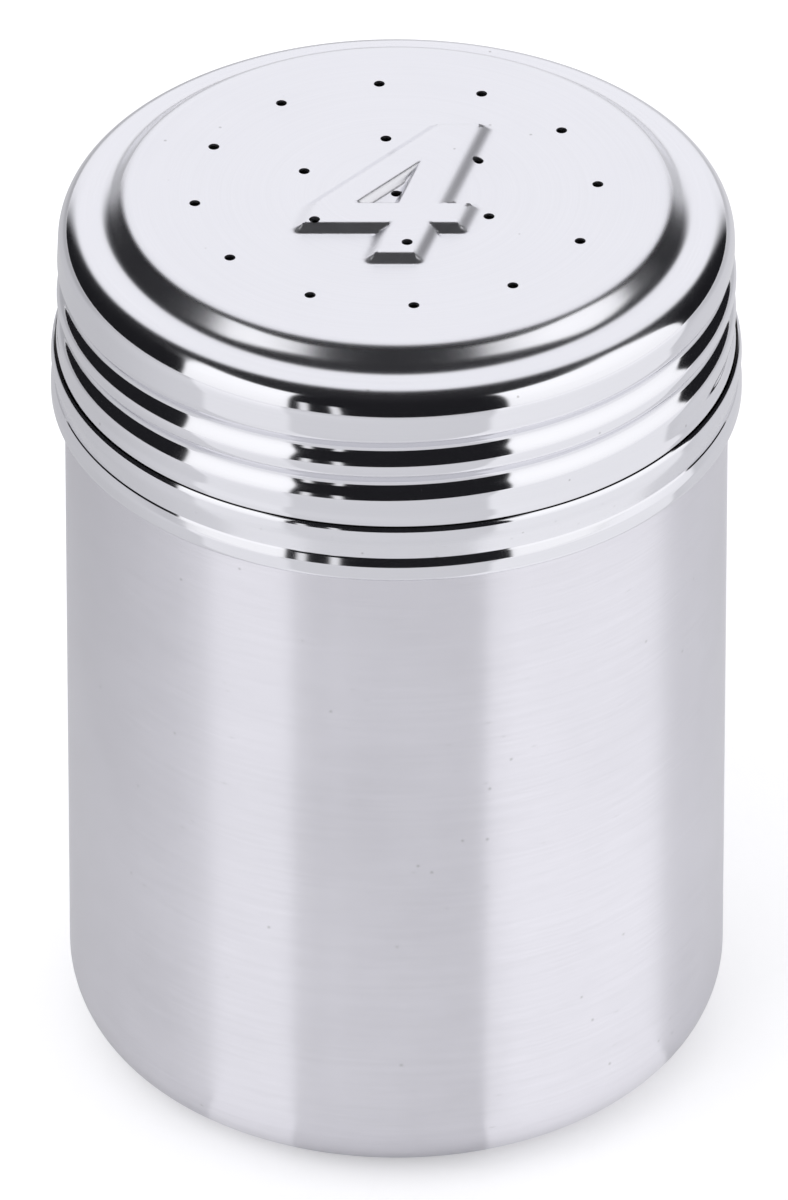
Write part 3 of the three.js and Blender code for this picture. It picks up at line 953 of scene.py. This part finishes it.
# floor, backdrop and softboxes
studioLevels = {
    "floorColor": (0.80, 0.80, 0.81, 1),
    "floorLift": 0.34,  # added for camera rays, so that the floor reads white
    "floorSize": 12.0,  # metres, as every distance over the floor here
    "floorDrop": 0.00005,
    "back": (1.0, 1.0, 1.03, 1),
    "dark": (0.012, 0.012, 0.014, 1),
    "below": (0.9, 0.9, 0.91, 1),
    "softbox": (1.16, 1.16, 1.17),
    "softboxFoot": 0.92,  # share of its light that a softbox has at its lower end
    "softboxFullHeight": 45.0,  # degrees up, as all heights here
    "ambient": (0.92, 0.92, 0.94, 1),
    "leftEdges": (-71.2, -34.2),  # degrees from the front, towards +X
    "rightEdges": (35.5, 103.0),
    "outerLean": (0.0034, 0.0001),  # for each squared and each cubed degree of height
    "innerLean": 0.0028,
    "rightLean": 0.0022,
    "softboxTop": 54.5,
    "softboxBlur": 0.7,
    "softboxTopBlur": 1.5,
    "backdropAngle": 31.0,  # it reaches this far round its middle
    "backdropTilt": 45.0,  # its middle is behind and this high
    "backdropBlur": 0.03,
    "backPanelEdges": (31.0, 33.2),  # degrees to the left and right of straight behind
    "backPanelBlur": 6.0,
    "backPanelTop": (66.0, 56.0),  # it fades out between these heights
    "gaps": ((-30.6, -27.6), (-20.2, -17.2)),  # bright gaps in the dark room
    "gapHeights": (0.0, 28.0),
    "gapBlurs": (0.8, 1.5),
    "gap": (0.9, 0.9, 0.91, 1),
    "horizonBlur": 0.004,
    "floorShade": 0.15,  # how much darker the floor is in reflections
    "farFloorShade": 0.12,  # the same, added far away at the back
    "farFloorSides": (100.0, 120.0),
    "farFloorReach": (0.3, 0.7),
    "leftFloorShade": 0.125,
    "leftShadeEdges": (-68.0, -120.0),
    "rightFloorShade": -0.05,
    "rightShadeEdges": (106.0, 118.0),
    "leftFloorEdges": (-67.5, -35.9),  # where painted softbox light lies on the mirrored floor
    "rightFloorEdges": (31.4, 105.5),
    "floorEdgeBlur": 1.5,
    "leftFloorGlow": 0.165,
    "rightFloorGlow": 0.235,
    "farFloorGlow": 0.16,  # added far away, so that a softbox runs softly into the floor
    "farGlowReach": (0.12, 1.3),
    "nearFloorGlow": 0.11,  # makes up for the shadow close to the cup
    "nearGlowReach": (0.13, 0.04),
    "glowStart": (0.022, 0.034),  # no glow under the cup
    "nearestFloor": 0.04,
}


def floorPaper():
    s = studioLevels
    made = bpy.data.materials.new("floorPaper")
    made.use_nodes = True
    made.node_tree.nodes.clear()
    w = Wiring(made.node_tree)
    path = w.node("ShaderNodeLightPath")
    mirrored = path.outputs["Is Glossy Ray"]
    spot = w.node("ShaderNodeTexCoord").outputs["Object"]
    x, y, _ = w.split(spot)
    azimuth = w.degreesRound(x, y)
    away = w.length(spot)
    # a point of the floor shows in the cup's wall as if it were this much further round
    half = w.times(azimuth, math.pi / 360)
    ratio = w.math("DIVIDE", cupSizes["radius"] * mm, w.math("MAXIMUM", away, s["nearestFloor"]))
    slip = w.times(w.times(ratio, w.math("SINE", half)), 180 / math.pi)
    slip = w.math("DIVIDE", slip, w.less(1, w.times(ratio, 0.5, w.math("COSINE", half))))
    shown = w.plus(azimuth, slip)
    # in reflections the floor is darker, most of all at the far left and the far back
    behind = w.smooth(w.math("ABSOLUTE", azimuth), *s["farFloorSides"])
    shade = w.plus(
        w.times(behind, w.smooth(away, *s["farFloorReach"]), s["farFloorShade"]),
        s["floorShade"],
        w.times(w.smooth(shown, *s["leftShadeEdges"]), s["leftFloorShade"]),
        w.times(w.smooth(shown, *s["rightShadeEdges"]), s["rightFloorShade"]),
    )
    color = w.mix(w.times(shade, mirrored), s["floorColor"], (0, 0, 0, 1))
    paper = w.node("ShaderNodeBsdfDiffuse", {"Color": color})
    # and in reflections painted light, an emission, lies on it in line with the softboxes
    far = w.smooth(away, *s["farGlowReach"], 0.0, s["farFloorGlow"])
    sides = []
    for side in ("left", "right"):
        lit = w.between(shown, *s[side + "FloorEdges"], s["floorEdgeBlur"])
        sides.append(w.times(lit, w.plus(far, s[side + "FloorGlow"])))
    glow = w.slope(w.smooth(away, *s["nearGlowReach"]), s["nearFloorGlow"], w.plus(*sides))
    glow = w.times(glow, w.smooth(away, *s["glowStart"]), mirrored)
    glow = w.slope(path.outputs["Is Camera Ray"], s["floorLift"], glow)
    light = w.node("ShaderNodeEmission", {"Strength": glow})
    above = w.node("ShaderNodeAddShader", {0: paper.outputs[0], 1: light.outputs[0]})
    clear = w.node("ShaderNodeBsdfTransparent")  # from below it is seen through
    below = w.node("ShaderNodeNewGeometry").outputs["Backfacing"]
    both = w.node("ShaderNodeMixShader", {0: below, 1: above.outputs[0], 2: clear.outputs[0]})
    w.node("ShaderNodeOutputMaterial", {"Surface": both.outputs[0]})
    return made


def makeFloor():
    half, z = studioLevels["floorSize"] / 2, -studioLevels["floorDrop"]
    mesh = bpy.data.meshes.new("floor")
    corners = [(-half, -half, z), (half, -half, z), (half, half, z), (-half, half, z)]
    mesh.from_pydata(corners, [], [(0, 1, 2, 3)])
    mesh.materials.append(floorPaper())
    made = bpy.data.objects.new("floor", mesh)
    bpy.context.scene.collection.objects.link(made)


# white backdrop behind and above, a dark room in front of the shaker, and two tall softboxes in it
def makeWorld():
    s = studioLevels
    world = bpy.data.worlds.new("studio")
    world.use_nodes = True
    world.node_tree.nodes.clear()
    w = Wiring(world.node_tree)
    x, y, z = w.split(w.node("ShaderNodeTexCoord").outputs["Generated"])
    azimuth = w.degreesRound(x, y)
    elevation = w.times(w.math("ARCSINE", z), 180 / math.pi)
    # the softboxes, with edges that lean
    raised = w.math("MAXIMUM", elevation, 0)
    squared = w.times(raised, raised)
    outer = w.slope(squared, w.slope(raised, s["outerLean"][1], s["outerLean"][0]), azimuth)
    leaning = w.slope(squared, s["innerLean"], azimuth)
    rightLeaning = w.slope(squared, -s["rightLean"], azimuth)
    blur = s["softboxBlur"]
    leftOuter, leftInner = s["leftEdges"]
    leftBox = w.times(
        w.smooth(outer, leftOuter - blur, leftOuter + blur),
        w.smooth(leaning, leftInner + blur, leftInner - blur),
    )
    boxes = w.plus(leftBox, w.between(rightLeaning, *s["rightEdges"], blur))
    top, blur = s["softboxTop"], s["softboxTopBlur"]
    boxes = w.times(boxes, w.smooth(elevation, top + blur, top - blur))
    # the backdrop: everything within a wide angle of its middle, and a panel below it
    tilt = math.radians(s["backdropTilt"])
    facing = w.plus(w.times(y, math.cos(tilt)), w.times(z, math.sin(tilt)))
    edge, blur = math.cos(math.radians(s["backdropAngle"])), s["backdropBlur"]
    backdrop = w.smooth(facing, edge - blur, edge + blur)
    behind = w.less(180, w.math("ABSOLUTE", azimuth))
    leftPart, rightPart = s["backPanelEdges"]
    edge = w.slope(w.math("GREATER_THAN", x, 0), rightPart - leftPart, leftPart)
    panel = w.times(
        w.smooth(w.less(behind, edge), s["backPanelBlur"], -s["backPanelBlur"]),
        w.smooth(elevation, *s["backPanelTop"]),
    )
    backdrop = w.math("MAXIMUM", backdrop, panel)
    sideBlur, endBlur = s["gapBlurs"]
    gaps = w.plus(*[w.between(leaning, *edges, sideBlur) for edges in s["gaps"]])
    gaps = w.times(gaps, w.between(elevation, *s["gapHeights"], endBlur))
    level = w.smooth(elevation, 0, s["softboxFullHeight"], s["softboxFoot"], 1.0)
    room = w.mix(boxes, w.mix(gaps, s["dark"], s["gap"]), w.scaled(s["softbox"], level))
    sky = w.mix(backdrop, room, s["back"])
    studio = w.mix(w.smooth(z, -s["horizonBlur"], s["horizonBlur"]), s["below"], sky)
    # only mirrors see the studio: the camera sees white, and the rest is lit evenly
    path = w.node("ShaderNodeLightPath")
    mirrored = w.math("MAXIMUM", path.outputs["Is Glossy Ray"], path.outputs["Is Transmission Ray"])
    seen = w.mix(path.outputs["Is Camera Ray"], w.mix(mirrored, s["ambient"], studio), (1, 1, 1, 1))
    background = w.node("ShaderNodeBackground", {"Color": seen, "Strength": 1.0})
    w.node("ShaderNodeOutputWorld", {"Surface": background.outputs[0]})
    bpy.context.scene.world = world


lampSizes = {"place": (-0.5, -0.5, 0.8), "aim": (0, 0, 0.05), "size": 0.7, "power": 2.0}  # metres, watts


def makeLamp():
    s = lampSizes
    data = bpy.data.lights.new("keyLamp", "AREA")
    data.shape = "RECTANGLE"
    data.size = data.size_y = s["size"]
    data.energy = s["power"]
    made = bpy.data.objects.new("keyLamp", data)
    made.location = s["place"]
    made.rotation_euler = (Vector(s["aim"]) - made.location).to_track_quat("-Z", "Y").to_euler()
    made.visible_camera = False
    made.visible_glossy = False  # its reflection is the softbox in the world
    bpy.context.scene.collection.objects.link(made)


cameraSizes = {
    "aim": (0.0, 0.0, 47.85),
    "distance": 2303.0,
    "elevation": 34.33,
    "focalPixels": 23005.0,
    "offsetPixels": (2.42, 10.67),  # what the aim misses the picture's middle by
    "pictureHeight": 1200,
    "sensorWidth": 36,
    "clip": (0.05, 20),  # metres
}


def makeCamera():
    s = cameraSizes
    tilt = math.radians(s["elevation"])
    back = Vector((0, -math.cos(tilt), math.sin(tilt)))
    up = Vector((0, math.sin(tilt), math.cos(tilt)))
    data = bpy.data.cameras.new("camera")
    data.sensor_width = s["sensorWidth"]
    data.lens = s["focalPixels"] / s["pictureHeight"] * data.sensor_width
    data.clip_start, data.clip_end = s["clip"]
    made = bpy.data.objects.new("camera", data)
    perPixel = s["distance"] * mm / s["focalPixels"]
    aside = Vector((-s["offsetPixels"][0] * perPixel, 0, 0)) + up * (s["offsetPixels"][1] * perPixel)
    made.location = Vector(s["aim"]) * mm + back * (s["distance"] * mm) + aside
    made.rotation_euler = (-back).to_track_quat("-Z", "Y").to_euler()
    bpy.context.scene.collection.objects.link(made)
    bpy.context.scene.camera = made


makeFloor()
makeWorld()
makeLamp()
makeCamera()
bpy.context.scene.view_settings.view_transform = "Standard"
print("studio built")
